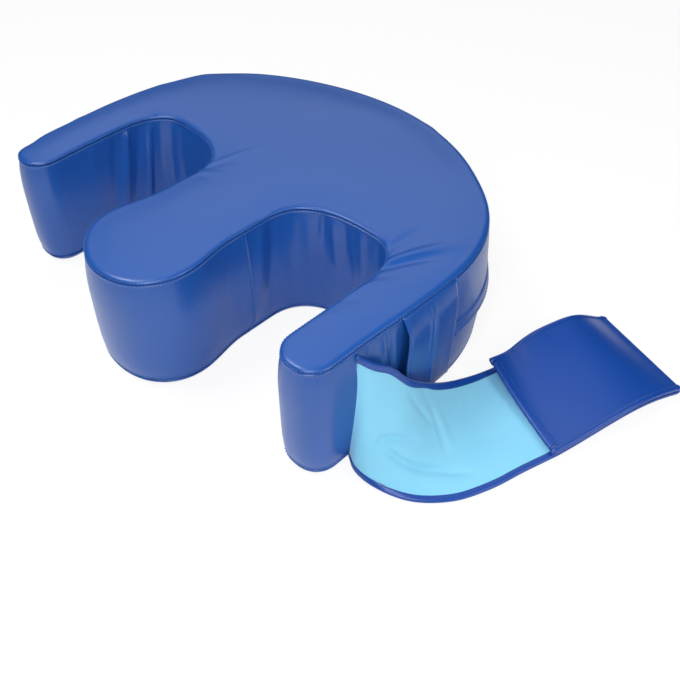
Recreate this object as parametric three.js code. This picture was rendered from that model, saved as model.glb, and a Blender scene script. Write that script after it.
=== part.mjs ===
// Patient turning cushion: a thick foam cushion with two leg notches, and a wide belt lying beside it.
// Millimetres, +Z up. X runs across the cushion, +X to the side with the belt, +Y to its round back.
// The origin is on the underside, in the middle of the base.
import * as THREE from 'three';

// Plan of the cushion at its upper seam
const backY = 221.5;
const backRadius = 318;
const shoulderRadius = 190;
const halfWidth = 261;
const armTipY = -174;
const armTipRadius = 26;
const armInnerX = 202.5;
const notchBaseY = -52;
const notchCrestX = 153;
const notchCrestY = 11.5;
const notchPower = 2.5;
const neckX = 61;
const neckY = -95;
const tongueX = 70.5;
const tongueY = -157;
const tongueTipY = -221.5;
const tonguePower = 2.1;

// Height of the cushion and the form of its wall
const cushionHeight = 150;
const lowerSeamZ = 9;
const upperSeamZ = 141;
const wallBulge = 2.5;
const seamDepth = 1.4;
const capInset = 17;
const stationStep = 16;
const notchStep = 8;

// Upright seams and folds of the cover on the walls: plan point, width along the wall, and how far the
// wall stands out there; seams and creases draw in, so theirs is below 0
const wallFolds = [
  { x: -194.5, y: -11, width: 7, out: -4.5 },
  { x: -199.5, y: -24, width: 8, out: 2.5 },
  { x: -202, y: -42, width: 8, out: 2.5 },
  { x: -202.5, y: -55, width: 9, out: -2.5 },
  { x: -185, y: 1, width: 8, out: 2.5 },
  { x: -174, y: 8, width: 8, out: -2.5 },
  { x: 61, y: -78.5, width: 6, out: -1.8 },
  { x: 61, y: -60, width: 9, out: -3 },
  { x: 61.5, y: -44, width: 8, out: 2 },
  { x: 103.5, y: 5.8, width: 8, out: -2.5 },
  { x: 115, y: 9, width: 7, out: 2 },
  { x: 126, y: 10.3, width: 8, out: -2.5 },
  { x: 261, y: -79, width: 6, out: -1.5 },
];
const leftTipLean = 5;

// Sewn pieces on the outer side of the right arm and round the back
const gap = 0.3;
const arcSlack = 0.3;
const rearSeamY = 21;
const rearBlend = 50;
const zipZ = 75;
const zipBandOut = 2;
const stripWidth = 15;
const stripThickness = 1.6;
const stripLift = 1.7;
const panelFrontY = -63;
const panelRidgeY = -13;
const panelBottomZ = 7;
const panelTopZ = 139;
const panelThickness = 1.6;
const panelStand = 9.5;
const panelRidge = 1.6;

// Belt
const layerThickness = 1.2;
const bindingThickness = 0.9;
const bindingGap = 0.45;
const bindingWidth = 10;
const beltRest = 2.75;
const foldGap = 6.2;
const foldBack = 166;
const curlLift = 13;
const curlReach = 60;
const beltColumns = 5;

// The belt from its seam to its fold. along: distance from the seam; foot: its lower edge, on the floor;
// head: its upper edge and how high that is; flat: how far the cloth lies on the floor from the foot
const beltRows = [
  { along: 0, footX: 265, footY: -127, headX: 265, headY: -124, headZ: 140, flat: 0 },
  { along: 20, footX: 279, footY: -136, headX: 268, headY: -105, headZ: 127, flat: 3 },
  { along: 40, footX: 299, footY: -138, headX: 272, headY: -89, headZ: 112, flat: 10 },
  { along: 80, footX: 336, footY: -124, headX: 280, headY: -69, headZ: 88, flat: 32 },
  { along: 120, footX: 364, footY: -96, headX: 281, headY: -40, headZ: 60, flat: 60 },
  { along: 160, footX: 382, footY: -60, headX: 284, headY: -10, headZ: 37, flat: 82 },
  { along: 200, footX: 394, footY: -21, headX: 288, headY: 26, headZ: 17, flat: 92 },
  { along: 240, footX: 407, footY: 16, headX: 292, headY: 62, headZ: 5, flat: 70 },
  { along: 320, footX: 430, footY: 97, headX: 312, headY: 140, headZ: 3, flat: 62 },
  { along: 400, footX: 451, footY: 174, headX: 332, headY: 217, headZ: 3, flat: 62 },
];
const beltLength = 400;
const humpStart = 240;
const humpFoot = 10;
const humpHead = 19;
const humpSkew = 1.35;

const blueLeatherette = { color: 0x2f55a8, roughness: 0.38, metalness: 0 };
const lightBlueFabric = { color: 0x7cc8e8, roughness: 0.9, metalness: 0 };

const lerp = THREE.MathUtils.lerp;
const clamp = THREE.MathUtils.clamp;
const smoothstep = THREE.MathUtils.smoothstep;

// Points on an arc, from one angle to another
function arcPoints(centreX, centreY, radius, fromAngle, toAngle, count) {
  return new THREE.EllipseCurve(centreX, centreY, radius, radius, fromAngle, toAngle, toAngle < fromAngle)
    .getPoints(count);
}

// A quarter of a superellipse about a centre, from its X axis to its Y axis
function quarterPoints(centreX, centreY, radiusX, radiusY, power, count) {
  const points = [];
  for (let i = 0; i <= count; i += 1) {
    const angle = (i / count) * Math.PI / 2;
    const x = centreX + radiusX * Math.cos(angle) ** (2 / power);
    const y = centreY + radiusY * Math.sin(angle) ** (2 / power);
    points.push(new THREE.Vector2(x, y));
  }
  return points;
}

// Right half of the round back, from its middle to where the arm's straight side begins
function halfBack(count) {
  const backCentreY = backY - backRadius;
  const shoulderX = halfWidth - shoulderRadius;
  const reach = backRadius - shoulderRadius;
  const shoulderY = backCentreY + Math.sqrt(reach ** 2 - shoulderX ** 2);
  const join = Math.atan2(shoulderY - backCentreY, shoulderX);
  return [
    ...arcPoints(0, backCentreY, backRadius, Math.PI / 2, join, count),
    ...arcPoints(shoulderX, shoulderY, shoulderRadius, join, 0, count).slice(1),
  ];
}

// Right half of the plan, from the middle of the back, round the arm and notch, to the tongue's tip
function halfPlan() {
  const tipY = armTipY + armTipRadius;
  const points = [
    ...halfBack(30),
    ...arcPoints(halfWidth - armTipRadius, tipY, armTipRadius, 0, -Math.PI / 2, 12),
    ...arcPoints(armInnerX + armTipRadius, tipY, armTipRadius, -Math.PI / 2, -Math.PI, 12),
  ];
  const notchHeight = notchCrestY - notchBaseY;
  points.push(...quarterPoints(notchCrestX, notchBaseY, armInnerX - notchCrestX, notchHeight, notchPower, 24));
  const inner = quarterPoints(notchCrestX, notchBaseY, neckX - notchCrestX, notchHeight, notchPower, 24);
  points.push(...inner.reverse());
  for (let i = 0; i <= 16; i += 1) {
    const part = i / 16;
    const flare = lerp(neckX, tongueX, smoothstep(part, 0, 1));
    points.push(new THREE.Vector2(flare, lerp(neckY, tongueY, part)));
  }
  points.push(...quarterPoints(0, tongueY, tongueX, tongueTipY - tongueY, tonguePower, 24));
  return points;
}

// Whole plan as evenly spread stations, clockwise seen from above, closer together in the notches
function planStations() {
  const right = halfPlan();
  const left = right.map((p) => new THREE.Vector2(-p.x, p.y)).reverse();
  const loop = [...right, ...left].filter((p, i, all) => i === 0 || p.distanceTo(all[i - 1]) > 0.01);
  const lengths = [0];
  const weights = [0];
  for (let i = 1; i <= loop.length; i += 1) {
    const from = loop[i - 1];
    const to = loop[i % loop.length];
    const beside = Math.abs(from.x) < armInnerX + 20;
    const inNotch = beside && from.y > notchBaseY - 18 && from.y < notchCrestY + 18;
    const step = from.distanceTo(to);
    lengths.push(lengths[i - 1] + step);
    weights.push(weights[i - 1] + step / (inNotch ? notchStep : stationStep));
  }
  const count = Math.round(weights[loop.length]);
  const stations = [];
  let k = 0;
  for (let i = 0; i < count; i += 1) {
    const target = (i / count) * weights[loop.length];
    while (weights[k + 1] < target) k += 1;
    const part = (target - weights[k]) / (weights[k + 1] - weights[k]);
    stations.push(loop[k].clone().lerp(loop[(k + 1) % loop.length], part));
  }
  return stations;
}

// Outward normal at every point of a line that runs clockwise seen from above, closed or open
function outwardNormals(line, closed) {
  const count = line.length;
  return line.map((p, i) => {
    const before = closed ? line[(i + count - 1) % count] : line[Math.max(i - 1, 0)];
    const after = closed ? line[(i + 1) % count] : line[Math.min(i + 1, count - 1)];
    const along = after.clone().sub(before).normalize();
    return new THREE.Vector2(-along.y, along.x);
  });
}

// How far the wall stands out at a height: full between the seams, drawn in at each seam
function wallOut(z) {
  const middle = (z - lowerSeamZ) / (upperSeamZ - lowerSeamZ);
  const bulge = wallBulge * Math.sin(Math.PI * clamp(middle, 0, 1)) ** 0.6;
  const atLower = Math.exp(-(((z - lowerSeamZ) / 2.5) ** 2));
  const atUpper = Math.exp(-(((z - upperSeamZ) / 2.5) ** 2));
  return bulge - seamDepth * (atLower + atUpper);
}

// 1 on the part of the wall behind the side panel's rear seam, 0 elsewhere
function rearShare(point) {
  const onOuterSide = Math.abs(point.x) > armInnerX + 20 || point.y > notchCrestY + 20;
  return onOuterSide ? smoothstep(point.y, rearSeamY, rearSeamY + rearBlend) : 0;
}

// The upper half of the rear wall stands out over the zip, the lower half is drawn in below it
function zipOut(point, z) {
  const upper = zipBandOut * Math.exp(-(((z - zipZ - 8) / 16) ** 2)) * smoothstep(z, zipZ - 8, zipZ);
  const lower = -1.5 * Math.exp(-(((z - zipZ + 9) / 10) ** 2));
  return rearShare(point) * (upper + lower);
}

function foldOut(point, z) {
  const share = Math.sin(Math.PI * clamp(z / upperSeamZ, 0, 1)) ** 0.5;
  let out = 0;
  for (const fold of wallFolds) {
    const away = Math.hypot(point.x - fold.x, point.y - fold.y) / fold.width;
    out += fold.out * Math.exp(-(away ** 2)) * share;
  }
  return out;
}

// The left arm's tip leans back a little towards its top
function leanBack(point, z) {
  const atTip = smoothstep(-point.x, 150, 200) * smoothstep(-point.y, 80, -armTipY);
  return leftTipLean * atTip * clamp(z / upperSeamZ, 0, 1);
}

function solidGeometry(points, index) {
  const geometry = new THREE.BufferGeometry();
  geometry.setAttribute('position', new THREE.Float32BufferAttribute(points.flatMap((p) => [p.x, p.y, p.z]), 3));
  geometry.setIndex(index);
  return geometry;
}

// Two triangles for the four corners a, b, c, d in turn, split along the shorter diagonal
function addQuad(index, points, a, b, c, d) {
  if (points[a].distanceTo(points[c]) < points[b].distanceTo(points[d])) {
    index.push(a, b, c, a, c, d);
  } else {
    index.push(b, c, d, b, d, a);
  }
}

// Body from closed rings of points, one above the other, with a flat cap at each end
function ringSolid(rings) {
  const points = rings.flat();
  const count = rings[0].length;
  const index = [];
  for (let r = 0; r + 1 < rings.length; r += 1) {
    for (let i = 0; i < count; i += 1) {
      const a = r * count + i;
      const b = r * count + ((i + 1) % count);
      addQuad(index, points, a, a + count, b + count, b);
    }
  }
  const contour = rings[0].map((p) => new THREE.Vector2(p.x, p.y));
  const last = (rings.length - 1) * count;
  for (const [a, b, c] of THREE.ShapeUtils.triangulateShape(contour, [])) {
    index.push(a, c, b, last + a, last + b, last + c);
  }
  return solidGeometry(points, index);
}

// The filled cushion: a flat base, the rolled lower edge, the wall, the rolled upper edge and the crown
function cushionGeometry() {
  const stations = planStations();
  const normals = outwardNormals(stations, true);
  const stripEdges = [zipZ - stripWidth / 2, zipZ, zipZ + stripWidth / 2];
  const wallHeights = [lowerSeamZ, 14, 36, 58, ...stripEdges, 98, 120, 136, upperSeamZ];
  const rimRows = [
    { z: 144.5, inset: 0.4 },
    { z: 147.3, inset: 3.2 },
    { z: 149, inset: 8 },
    { z: cushionHeight, inset: capInset },
  ];
  const ring = (z, outAt) => stations.map((p, i) => {
    const out = outAt(p);
    return new THREE.Vector3(p.x + normals[i].x * out, p.y + normals[i].y * out + leanBack(p, z), z);
  });
  const rings = [
    ring(0, () => -7),
    ring(1.5, () => -3),
    ring(5, () => -0.4),
    ...wallHeights.map((z) => ring(z, (p) => wallOut(z) + zipOut(p, z) + foldOut(p, z))),
    ...rimRows.map((row) => ring(row.z, () => -row.inset)),
  ];
  return ringSolid(rings);
}

// Solid between two grids of points of the same size; rows run along the piece, columns across it
function solidBetween(upperRows, lowerRows) {
  const points = [...upperRows.flat(), ...lowerRows.flat()];
  const rows = upperRows.length;
  const columns = upperRows[0].length;
  const upper = (r, c) => r * columns + c;
  const lower = (r, c) => (rows + r) * columns + c;
  const lastRow = rows - 1;
  const lastColumn = columns - 1;
  const index = [];
  const quad = (a, b, c, d) => addQuad(index, points, a, b, c, d);
  for (let r = 0; r < lastRow; r += 1) {
    for (let c = 0; c < lastColumn; c += 1) {
      quad(upper(r, c), upper(r + 1, c), upper(r + 1, c + 1), upper(r, c + 1));
      quad(lower(r, c), lower(r, c + 1), lower(r + 1, c + 1), lower(r + 1, c));
    }
    quad(lower(r, 0), lower(r + 1, 0), upper(r + 1, 0), upper(r, 0));
    quad(upper(r, lastColumn), upper(r + 1, lastColumn), lower(r + 1, lastColumn), lower(r, lastColumn));
  }
  for (let c = 0; c < lastColumn; c += 1) {
    quad(upper(0, c), upper(0, c + 1), lower(0, c + 1), lower(0, c));
    quad(upper(lastRow, c), lower(lastRow, c), lower(lastRow, c + 1), upper(lastRow, c + 1));
  }
  return solidGeometry(points, index);
}

// Line along the foot of the strip over the zip: round the back, from one side seam to the other
function rearLine() {
  const right = halfBack(15).filter((p) => p.y > rearSeamY + 3);
  right.push(new THREE.Vector2(halfWidth - 0.3, rearSeamY + 1));
  const left = right.slice(1).map((p) => new THREE.Vector2(-p.x, p.y)).reverse();
  return [...left, ...right];
}

// The strip over the zip: its upper edge lies on the wall, its lower edge stands off it
function zipFlapGeometry() {
  const line = rearLine();
  const normals = outwardNormals(line, false);
  const upperZ = zipZ + stripWidth / 2;
  const lowerZ = zipZ - stripWidth / 2;
  const outer = [];
  const inner = [];
  line.forEach((point, i) => {
    const fromEnd = Math.min(i, line.length - 1 - i);
    const settle = smoothstep(fromEnd, 0, 6);
    const wall = Math.max(...[upperZ, zipZ, lowerZ].map((z) => wallOut(z) + zipOut(point, z)));
    const at = (z, lift) => {
      const out = wall + gap + arcSlack + lift;
      return new THREE.Vector3(point.x + normals[i].x * out, point.y + normals[i].y * out, z);
    };
    outer.push([at(upperZ, stripThickness), at(lowerZ, stripThickness + settle * stripLift)]);
    inner.push([at(upperZ, 0), at(lowerZ, settle * stripLift)]);
  });
  return solidBetween(outer, inner);
}

// How far the side panel stands off the wall: most at the free front edge, nothing at the sewn edges
function panelOff(y, z) {
  const open = 1 - smoothstep(y, panelFrontY, rearSeamY - 6);
  const rise = clamp((z - panelBottomZ) / (panelTopZ - panelBottomZ), 0, 1);
  const belly = clamp(4.6 * Math.sin(Math.PI * rise), 0, 1) ** 0.8;
  const ridge = panelRidge * Math.exp(-(((y - panelRidgeY) / 4) ** 2)) * belly;
  return gap + panelStand * open * belly + ridge;
}

// The side panel: sewn down at the top, the bottom and the rear, free at the front
function sidePanelGeometry() {
  const columns = [panelFrontY, -56, -46, -34, -24, -18, panelRidgeY, -8, -2, 8, 14, rearSeamY - 1];
  const rows = [panelBottomZ, 12, 20, 32, 50, 75, 100, 115, 125, 132, panelTopZ];
  const outer = [];
  const inner = [];
  for (const z of rows) {
    const wallX = halfWidth + wallBulge;
    const at = (y, skin) => new THREE.Vector3(wallX + panelOff(y, z) + skin, y, z);
    outer.push(columns.map((y) => at(y, panelThickness)));
    inner.push(columns.map((y) => at(y, 0)));
  }
  return solidBetween(inner, outer);
}

// Smooth value of a column of a table at a place along it: cubic between rows, through every row
function valueAlong(rows, column, place) {
  const last = rows.length - 1;
  let i = 0;
  while (i < last - 1 && rows[i + 1].along < place) i += 1;
  const slope = (k) => (rows[k + 1][column] - rows[k][column]) / (rows[k + 1].along - rows[k].along);
  const tangent = (k) => {
    if (k === 0) return slope(0);
    if (k === last) return slope(last - 1);
    return (slope(k - 1) + slope(k)) / 2;
  };
  const span = rows[i + 1].along - rows[i].along;
  const t = (place - rows[i].along) / span;
  const h0 = (1 + 2 * t) * (1 - t) ** 2;
  const h1 = t * (1 - t) ** 2;
  const h2 = t * t * (3 - 2 * t);
  const h3 = t * t * (t - 1);
  return h0 * rows[i][column] + h1 * span * tangent(i) + h2 * rows[i + 1][column] + h3 * span * tangent(i + 1);
}

// Middle surface of the belt's lower run: along from the seam, across from foot 0 to head 1.
// Each section is a quadratic curve that leaves the foot along the floor and rises to the head.
function lowerRun(along, across) {
  const value = (column) => valueAlong(beltRows, column, along);
  const foot = new THREE.Vector3(value('footX'), value('footY'), beltRest);
  const head = new THREE.Vector3(value('headX'), value('headY'), Math.max(value('headZ'), beltRest));
  const plan = new THREE.Vector3(head.x - foot.x, head.y - foot.y, 0);
  const reach = Math.max(plan.length(), 1);
  const bend = foot.clone().addScaledVector(plan, value('flat') / reach);
  bend.z = foot.z + 0.12 * (head.z - foot.z) * (1 - value('flat') / reach);
  const section = new THREE.QuadraticBezierCurve3(foot, bend, head);
  section.arcLengthDivisions = 40;
  const point = section.getPointAt(across);
  const past = clamp((along - humpStart) / (beltLength - humpStart), 0, 1);
  point.z += lerp(humpFoot, humpHead, across) * Math.sin(Math.PI * past ** humpSkew) ** 1.5;
  return point;
}

// Way up from a surface given by along and across
function surfaceNormal(surface, along, across) {
  const step = 0.5;
  const a = surface(along + step, across).sub(surface(along - step, across));
  const b = surface(along, Math.min(across + 0.01, 1)).sub(surface(along, Math.max(across - 0.01, 0)));
  return a.cross(b).normalize();
}

// Middle surface of the whole belt: the lower run, the half circle of the fold, and the run folded back
function beltSurface(along, across) {
  const foldRadius = foldGap / 2;
  const foldLength = Math.PI * foldRadius;
  if (along <= beltLength) return lowerRun(along, across);
  const edge = lowerRun(beltLength, across);
  const ahead = edge.clone().sub(lowerRun(beltLength - 1, across)).setZ(0).normalize();
  if (along <= beltLength + foldLength) {
    const turn = (along - beltLength) / foldRadius;
    edge.addScaledVector(ahead, foldRadius * Math.sin(turn));
    edge.z += foldRadius * (1 - Math.cos(turn));
    return edge;
  }
  const back = along - beltLength - foldLength;
  const point = lowerRun(beltLength - back, across);
  const toEnd = foldBack - back;
  const curl = (1 - smoothstep(toEnd, 0, curlReach)) * across ** 2;
  point.z += foldGap + curlLift * curl;
  return point;
}

const foldedLength = beltLength + Math.PI * foldGap / 2 + foldBack;

// Places along the belt where its sections stand: closer together in the fold
function beltPlaces(endInset) {
  const places = [];
  for (let along = 0; along < beltLength - 1; along += 16) places.push(along);
  const foldLength = Math.PI * foldGap / 2;
  for (let i = 0; i <= 6; i += 1) places.push(beltLength + foldLength * i / 6);
  const steps = 9;
  const run = foldBack - bindingWidth;
  for (let i = 1; i <= steps; i += 1) places.push(beltLength + foldLength + run * i / steps);
  places.push(foldedLength - endInset);
  return places;
}

function offsetPoint(along, across, out) {
  return beltSurface(along, across).addScaledVector(surfaceNormal(beltSurface, along, across), out);
}

// Width of the belt at a place, from foot to head along its section
function beltWidth(along) {
  let width = 0;
  for (let i = 0; i < 8; i += 1) {
    width += beltSurface(along, i / 8).distanceTo(beltSurface(along, (i + 1) / 8));
  }
  return width;
}

// One layer of the belt, between two distances from its middle surface, short of its edges by the binding
function beltLayer(low, high) {
  const upper = [];
  const lower = [];
  for (const along of beltPlaces(bindingThickness + bindingGap)) {
    const width = beltWidth(along);
    const edge = (bindingThickness + bindingGap) / width;
    const covered = bindingWidth / width;
    const bare = Array.from({ length: beltColumns + 1 }, (_, k) => lerp(covered, 1 - covered, k / beltColumns));
    const columns = [edge, ...bare, 1 - edge];
    upper.push(columns.map((across) => offsetPoint(along, across, high)));
    lower.push(columns.map((across) => offsetPoint(along, across, low)));
  }
  return solidBetween(upper, lower);
}

// Corners of a binding's folded section: distance in from the edge, distance from the middle surface
function bindingSection() {
  const inner = layerThickness + gap / 2 + bindingGap;
  const outer = inner + bindingThickness;
  return {
    outside: [[bindingWidth, outer], [0, outer], [0, -outer], [bindingWidth, -outer]],
    inside: [[bindingWidth, inner], [bindingThickness, inner], [bindingThickness, -inner], [bindingWidth, -inner]],
  };
}

// A binding folded round one long edge of the belt
function longBinding(atHead) {
  const section = bindingSection();
  const outer = [];
  const inner = [];
  for (const along of beltPlaces(0)) {
    const width = beltWidth(along);
    const place = ([inFromEdge, out]) => {
      const across = atHead ? 1 - inFromEdge / width : inFromEdge / width;
      return offsetPoint(along, across, out);
    };
    outer.push(section.outside.map(place));
    inner.push(section.inside.map(place));
  }
  return atHead ? solidBetween(outer, inner) : solidBetween(inner, outer);
}

// The binding folded round the free end, between the two long ones
function endBinding() {
  const section = bindingSection();
  const outer = [];
  const inner = [];
  const width = beltWidth(foldedLength - 1);
  const covered = bindingWidth / width;
  const clear = gap / width;
  for (let k = 0; k <= beltColumns; k += 1) {
    const column = lerp(covered, 1 - covered, k / beltColumns);
    const across = clamp(column, covered + clear, 1 - covered - clear);
    const place = ([inFromEdge, out]) => offsetPoint(foldedLength - inFromEdge, across, out);
    outer.push(section.outside.map(place));
    inner.push(section.inside.map(place));
  }
  return solidBetween(inner, outer);
}

function piece(name, geometry, finish) {
  const mesh = new THREE.Mesh(geometry, new THREE.MeshStandardMaterial(finish));
  mesh.name = name;
  return mesh;
}

const middle = gap / 2;
const turningCushion = new THREE.Group();
turningCushion.add(piece('cushion', cushionGeometry(), blueLeatherette));
turningCushion.add(piece('zip_flap', zipFlapGeometry(), blueLeatherette));
turningCushion.add(piece('side_panel', sidePanelGeometry(), blueLeatherette));
turningCushion.add(piece('belt_shell', beltLayer(-middle - layerThickness, -middle), blueLeatherette));
turningCushion.add(piece('belt_lining', beltLayer(middle, middle + layerThickness), lightBlueFabric));
turningCushion.add(piece('belt_binding_upper', longBinding(true), blueLeatherette));
turningCushion.add(piece('belt_binding_lower', longBinding(false), blueLeatherette));
turningCushion.add(piece('belt_binding_end', endBinding(), blueLeatherette));

export default turningCushion;
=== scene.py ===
import bpy
import numpy as np
from mathutils import Matrix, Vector
from mathutils.geometry import delaunay_2d_cdt


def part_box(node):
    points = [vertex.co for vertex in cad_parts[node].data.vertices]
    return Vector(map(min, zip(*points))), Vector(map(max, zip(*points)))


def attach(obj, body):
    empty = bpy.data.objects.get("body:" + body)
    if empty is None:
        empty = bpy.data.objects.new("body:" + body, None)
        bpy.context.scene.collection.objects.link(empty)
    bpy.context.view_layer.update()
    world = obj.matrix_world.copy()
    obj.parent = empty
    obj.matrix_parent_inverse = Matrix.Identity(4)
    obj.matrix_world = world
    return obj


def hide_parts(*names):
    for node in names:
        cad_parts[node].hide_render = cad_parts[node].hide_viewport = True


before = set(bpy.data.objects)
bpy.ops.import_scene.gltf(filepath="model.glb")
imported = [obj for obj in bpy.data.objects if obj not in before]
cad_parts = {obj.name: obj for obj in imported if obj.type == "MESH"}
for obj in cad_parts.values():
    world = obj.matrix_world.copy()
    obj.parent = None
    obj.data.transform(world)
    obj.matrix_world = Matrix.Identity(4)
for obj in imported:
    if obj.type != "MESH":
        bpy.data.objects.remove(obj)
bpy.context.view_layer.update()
print("frame loaded")

# Metres. X across the cushion, +X to the side with the belt, +Y to the round back, Z up from the floor.


def smoothstep(value, start, end):
    t = np.clip((value - start) / (end - start), 0, 1)
    return t * t * (3 - 2 * t)


def bell(value, width):
    return np.exp(-(value / width) ** 2)


def unit(vectors):
    return vectors / np.maximum(np.linalg.norm(vectors, axis=-1, keepdims=True), 1e-12)


def pathLengths(points):
    # How far along its path each point lies; paths run along the last axis but one
    steps = np.linalg.norm(np.diff(points, axis=-2), axis=-1)
    return np.concatenate([np.zeros_like(steps[..., :1]), np.cumsum(steps, -1)], -1)


def addObject(name, data, place=(0, 0, 0), axes=np.eye(3)):
    # Object in the scene at a place, its own X, Y and Z along the three axes
    piece = bpy.data.objects.new(name, data)
    piece.matrix_world = Matrix.Translation(place) @ Matrix(np.column_stack(axes).tolist()).to_4x4()
    bpy.context.scene.collection.objects.link(piece)
    return piece


# Camera

camera = {
    "place": (0.58068, -0.47692, 0.65470),
    "turn": 46.765,     # degrees, to the left of +Y
    "down": 43.663,     # degrees, below the horizon
    "roll": -1.56,
    "lens": 42.156,     # millimetres on a 36 mm sensor
    "shift": (0.0441, -0.0441),
}


def makeCamera(p):
    # forward = (-sin a cos t, cos a cos t, -sin t), right = (cos a, sin a, 0), then a roll about forward
    a, t, r = np.radians([p["turn"], p["down"], p["roll"]])
    forward = np.array([-np.sin(a) * np.cos(t), np.cos(a) * np.cos(t), -np.sin(t)])
    right = np.array([np.cos(a), np.sin(a), 0.0])
    down = np.cross(forward, right)
    data = bpy.data.cameras.new("photoCamera")
    data.lens = p["lens"]
    data.sensor_width = 36
    data.shift_x, data.shift_y = p["shift"]
    data.clip_start, data.clip_end = 0.01, 50
    axes = [np.cos(r) * right - np.sin(r) * down, -np.sin(r) * right - np.cos(r) * down, -forward]
    bpy.context.scene.camera = addObject("photoCamera", data, p["place"], axes)


makeCamera(camera)
print("camera placed")


# Materials

finishes = {
    "coverBlue": (0.0110, 0.082, 0.360),
    "coverBlueLight": (0.0130, 0.088, 0.376),
    "beltBlue": (0.0065, 0.059, 0.332),
    "beltBlueLight": (0.0085, 0.067, 0.352),
    "coverThread": (0.080, 0.200, 0.540),
    "beltThread": (0.016, 0.080, 0.340),
    "liningBlue": (0.228, 0.620, 0.850),
    "liningBlueLight": (0.268, 0.665, 0.895),
    "skinRoughness": 0.305,
    "skinIor": 1.50,
    "grainScale": 1300.0,       # pebbles in a metre
    "weaveScale": 900.0,        # loops in a metre
}


def setInputs(tree, node, inputs):
    # Each input takes a plain value, or the output that is linked to it
    for name, value in inputs.items():
        if isinstance(value, bpy.types.NodeSocket):
            tree.links.new(value, node.inputs[name])
        else:
            node.inputs[name].default_value = value


def addNode(tree, kind, inputs, **settings):
    node = tree.nodes.new("ShaderNode" + kind)
    for name, value in settings.items():
        setattr(node, name, value)
    setInputs(tree, node, inputs)
    return node.outputs


def mathNode(tree, operation, first, second):
    return addNode(tree, "Math", {0: first, 1: second}, operation=operation)[0]


def rangeNode(tree, value, low, high, start=0.0, end=1.0, kind="LINEAR"):
    # From low to high as the value goes from start to end
    inputs = {"Value": value, "From Min": start, "From Max": end, "To Min": low, "To Max": high}
    return addNode(tree, "MapRange", inputs, interpolation_type=kind)["Result"]


def mixNode(tree, mask, first, second, kind="FLOAT"):
    return addNode(tree, "Mix", {"Factor": mask, "A": first, "B": second}, data_type=kind)["Result"]


def newGroup(name, inputs, output, space):
    # Node group of plain numbers; gives its entry's outputs, its exit's input and the place in a space too
    group = bpy.data.node_groups.new(name, "ShaderNodeTree")
    for inputName, value in inputs.items():
        socket = group.interface.new_socket(inputName, in_out="INPUT", socket_type="NodeSocketFloat")
        socket.default_value = value
    group.interface.new_socket(output, in_out="OUTPUT", socket_type="NodeSocketFloat")
    entry, leave = group.nodes.new("NodeGroupInput"), group.nodes.new("NodeGroupOutput")
    return group, entry.outputs, leave.inputs[output], addNode(group, "TexCoord", {})[space]


def makeGrainGroup():
    # Height = soft cells of the pressed grain, plus fine irregular creases
    inputs = {"Scale": finishes["grainScale"], "Creases": 0.4}
    group, given, height, place = newGroup("pressedGrain", inputs, "Height", "Object")
    inputs = {"Vector": place, "Scale": given["Scale"], "Smoothness": 0.6}
    cells = addNode(group, "TexVoronoi", inputs, feature="SMOOTH_F1")
    fine = addNode(group, "TexNoise", {"Vector": place, "Scale": 420, "Detail": 4, "Roughness": 0.6})
    creases = mathNode(group, "MULTIPLY", fine["Fac"], given["Creases"])
    group.links.new(mathNode(group, "ADD", cells["Distance"], creases), height)
    return group


def makeToneGroup():
    # Mask = broad soft clouds about one half, for slow changes of colour and of gloss
    group, given, mask, place = newGroup("softTone", {"Scale": 9.0, "Contrast": 1.0}, "Mask", "Object")
    inputs = {"Vector": place, "Scale": given["Scale"], "Detail": 1, "Roughness": 0.55}
    clouds = addNode(group, "TexNoise", inputs)
    middle = mathNode(group, "SUBTRACT", clouds["Fac"], 0.5)
    spread = mathNode(group, "MULTIPLY", middle, given["Contrast"])
    group.links.new(mathNode(group, "ADD", spread, 0.5), mask)
    return group


def makeWeaveGroup():
    # Height = small cells for the loops of a brushed knit, plus noise for its nap
    group, given, height, place = newGroup("brushedKnit", {"Scale": finishes["weaveScale"]}, "Height", "UV")
    loops = addNode(group, "TexVoronoi", {"Vector": place, "Scale": given["Scale"]})
    nap = addNode(group, "TexNoise", {"Vector": place, "Scale": 260, "Detail": 5})
    group.links.new(mathNode(group, "ADD", loops["Distance"], nap["Fac"]), height)
    return group


grainGroup, toneGroup, weaveGroup = makeGrainGroup(), makeToneGroup(), makeWeaveGroup()


def newMaterial(name):
    material = bpy.data.materials.new(name)
    material.use_nodes = True
    return material, material.node_tree, material.node_tree.nodes["Principled BSDF"]


def clothMaterial(name, scale, contrast, colours, gloss):
    # Colour and roughness both go from the first of their pair to the second with one soft mask
    material, tree, shader = newMaterial(name)
    mask = addNode(tree, "Group", {"Scale": scale, "Contrast": contrast}, node_tree=toneGroup)["Mask"]
    colour = mixNode(tree, mask, *((*part, 1) for part in colours), kind="RGBA")
    setInputs(tree, shader, {"Base Color": colour, "Roughness": rangeNode(tree, mask, *gloss)})
    return material, tree, shader


def bumpNode(tree, group, inputs, strength, distance):
    height = addNode(tree, "Group", inputs, node_tree=group)["Height"]
    return addNode(tree, "Bump", {"Strength": strength, "Distance": distance, "Height": height})["Normal"]


def makeLeatherette(name, colour):
    rough = finishes["skinRoughness"]
    colours = finishes[colour], finishes[colour + "Light"]
    material, tree, shader = clothMaterial(name, 7.0, 1.0, colours, (rough - 0.03, rough + 0.03))
    bump = bumpNode(tree, grainGroup, {"Scale": finishes["grainScale"], "Creases": 0.5}, 0.22, 0.00012)
    setInputs(tree, shader, {"IOR": finishes["skinIor"], "Specular IOR Level": 0.5, "Normal": bump})
    return material


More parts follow.
